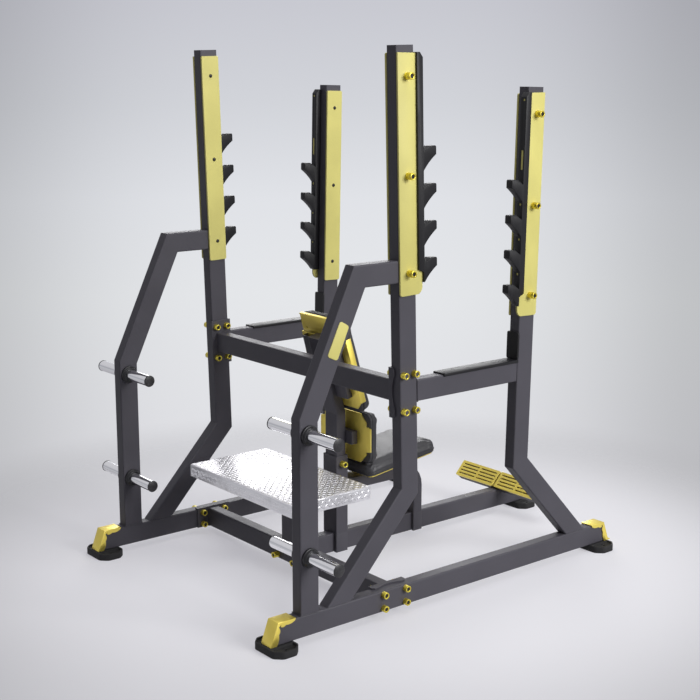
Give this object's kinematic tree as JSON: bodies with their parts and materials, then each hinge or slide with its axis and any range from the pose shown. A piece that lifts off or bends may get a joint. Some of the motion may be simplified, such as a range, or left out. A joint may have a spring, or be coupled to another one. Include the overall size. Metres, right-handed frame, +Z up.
{
  "type": "seated press rack",
  "caption": "Free-standing seated overhead-press rack with leaning uprights, J-hook bar catches, reclined seat, spotter platform, plate storage horns and foot rest.",
  "frame": {"origin": "centre of the bounding box's bottom, on the floor", "axes": "+Z up, +Y the way the seated lifter faces, +X the lifter's right"},
  "size_m": [1.59, 1.92, 2.042],
  "materials": {
    "frame": "matte charcoal powder coat",
    "yellow": "satin golden-yellow powder coat",
    "liner": "black nylon, satin",
    "vinyl": "black upholstery vinyl, fine grain",
    "rubber": "black moulded rubber, matte",
    "chrome": "polished hard chrome",
    "deck": "bright checker plate"
  },
  "bodies": {
    "root": {"back_guard": "yellow", "back_pad": "vinyl", "back_plate": "yellow", "back_post": "frame", "backing_plate_front_left": "yellow", "backing_plate_front_right": "yellow", "backing_plate_rear_left": "yellow", "backing_plate_rear_right": "yellow", "base_beam_left": "frame", "base_beam_right": "frame", "foot_clip_front_left": "yellow", "foot_clip_front_right": "yellow", "foot_clip_rear_left": "yellow", "foot_clip_rear_right": "yellow", "footrest_bar": "frame", "footrest_tread_left": "yellow", "footrest_tread_right": "yellow", "front_upright_left": "frame", "front_upright_right": "frame", "hook_liner_front_left": "liner", "hook_liner_front_right": "liner", "hook_liner_rear_left": "liner", "hook_liner_rear_right": "liner", "hook_plate_front_left": "yellow", "hook_plate_front_right": "yellow", "hook_plate_rear_left": "yellow", "hook_plate_rear_right": "yellow", "limiter_bumper_left": "liner", "limiter_bumper_right": "liner", "limiter_strip_left": "liner", "limiter_strip_right": "liner", "lower_cross_beam": "frame", "lumbar_pad": "vinyl", "lumbar_plate": "yellow", "mid_cross_beam": "frame", "platform_deck": "deck", "platform_leg": "frame", "post_socket": "frame", "rear_upright_left": "frame", "rear_upright_right": "frame", "rubber_foot_front_left": "rubber", "rubber_foot_front_right": "rubber", "rubber_foot_rear_left": "rubber", "rubber_foot_rear_right": "rubber", "rubber_foot_spine": "rubber", "seat_frame": "frame", "seat_pad": "vinyl", "seat_plate": "yellow", "side_beam_left": "frame", "side_beam_right": "frame", "spine": "frame", "storage_frame_left": "frame", "storage_frame_right": "frame", "storage_horn_lower_left": "chrome", "storage_horn_lower_right": "chrome", "storage_horn_upper_left": "chrome", "storage_horn_upper_right": "chrome"}
  },
  "joints": []
}
